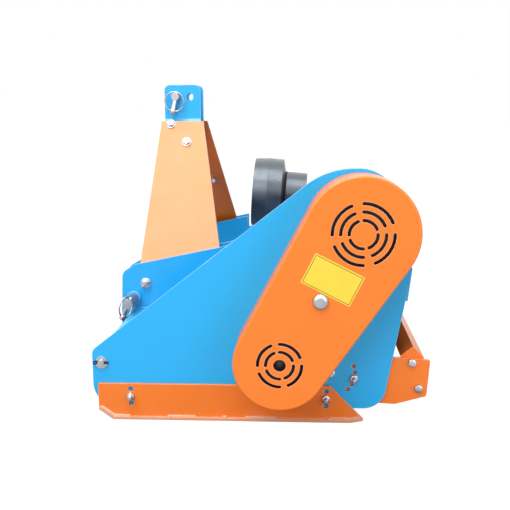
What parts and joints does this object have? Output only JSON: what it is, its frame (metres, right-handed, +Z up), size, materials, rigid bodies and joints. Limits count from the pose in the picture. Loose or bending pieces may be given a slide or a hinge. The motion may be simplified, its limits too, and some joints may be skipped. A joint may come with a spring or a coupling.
{
  "type": "tractor flail mulcher",
  "caption": "Three-point hitch flail mulcher: steel hood on skids, belt-driven flail rotor under a vented side cover, A-frame mast, PTO gearbox and rear bar.",
  "frame": {"origin": "middle of the base of the box, on the ground under the machine", "axes": "+X to the rear, away from the tractor; +Y to the far side, away from the belts; +Z up"},
  "size_m": [0.6756, 1.214, 0.6818],
  "materials": {
    "blue_plate": "satin powder coat, blue",
    "orange_plate": "satin powder coat, orange",
    "zinc_steel": "bright zinc plate",
    "bare_steel": "machined steel, oiled",
    "dark_casting": "black painted casting",
    "rotor_black": "semi-gloss black paint",
    "forged_flail": "dark forged steel with bright cutting edges",
    "black_plastic": "moulded black plastic, semi-gloss",
    "black_rubber": "black rubber"
  },
  "bodies": {
    "frame": {"hood_front": "blue_plate", "hood_slope": "blue_plate", "hood_deck": "blue_plate", "hood_rear": "blue_plate", "front_beam": "blue_plate", "side_plate_belt": "blue_plate", "side_plate_far": "blue_plate", "skid_belt": "orange_plate", "skid_far": "orange_plate", "rear_bracket_belt": "orange_plate", "rear_bracket_far": "orange_plate", "rear_bar": "orange_plate", "rear_curtain": "black_rubber", "link_plate_outer_belt": "blue_plate", "link_plate_outer_far": "blue_plate", "link_plate_inner_belt": "blue_plate", "link_plate_inner_far": "blue_plate", "link_pin_belt": "zinc_steel", "link_pin_far": "zinc_steel", "mast_leg_belt": "orange_plate", "mast_leg_far": "orange_plate", "mast_head_belt": "blue_plate", "mast_head_far": "blue_plate", "top_pin": "zinc_steel", "gearbox": "dark_casting", "guard_neck": "black_plastic", "guard_drum": "black_plastic", "cross_tube": "blue_plate", "drive_belts": "black_rubber", "belt_cover": "orange_plate", "cover_stud": "zinc_steel", "bearing_belt": "dark_casting", "bearing_far": "dark_casting", "flap_rod": "zinc_steel"},
    "rotor": {"rotor_tube": "rotor_black", "rotor_shafts": "bare_steel", "flails": "forged_flail", "rotor_pulley": "dark_casting"},
    "drive": {"drive_pulley": "dark_casting", "cross_shaft": "bare_steel"},
    "input": {"input_shaft": "bare_steel"},
    "flaps": {"front_flaps": "orange_plate"}
  },
  "joints": [
    {"name": "rotor_spin", "type": "hinge", "parent": "frame", "child": "rotor", "pos_m": [0.04315, 0.039, 0.1438], "axis": [0, 1, 0], "continuous": true},
    {"name": "drive_spin", "type": "hinge", "parent": "frame", "child": "drive", "pos_m": [0.19545, 0.039, 0.3916], "axis": [0, 1, 0], "continuous": true},
    {"name": "input_spin", "type": "hinge", "parent": "frame", "child": "input", "pos_m": [0.19545, 0.039, 0.3916], "axis": [-0.9969, 0, 0.0785], "continuous": true},
    {"name": "flap_swing", "type": "hinge", "parent": "frame", "child": "flaps", "pos_m": [-0.31884, 0.039, 0.1165], "axis": [0, -1, 0], "range_deg": [0, 70]}
  ],
  "couplings": [
    {"joint": "drive_spin", "follows": "rotor_spin", "ratio": 0.77778},
    {"joint": "input_spin", "follows": "rotor_spin", "ratio": 0.25926}
  ]
}
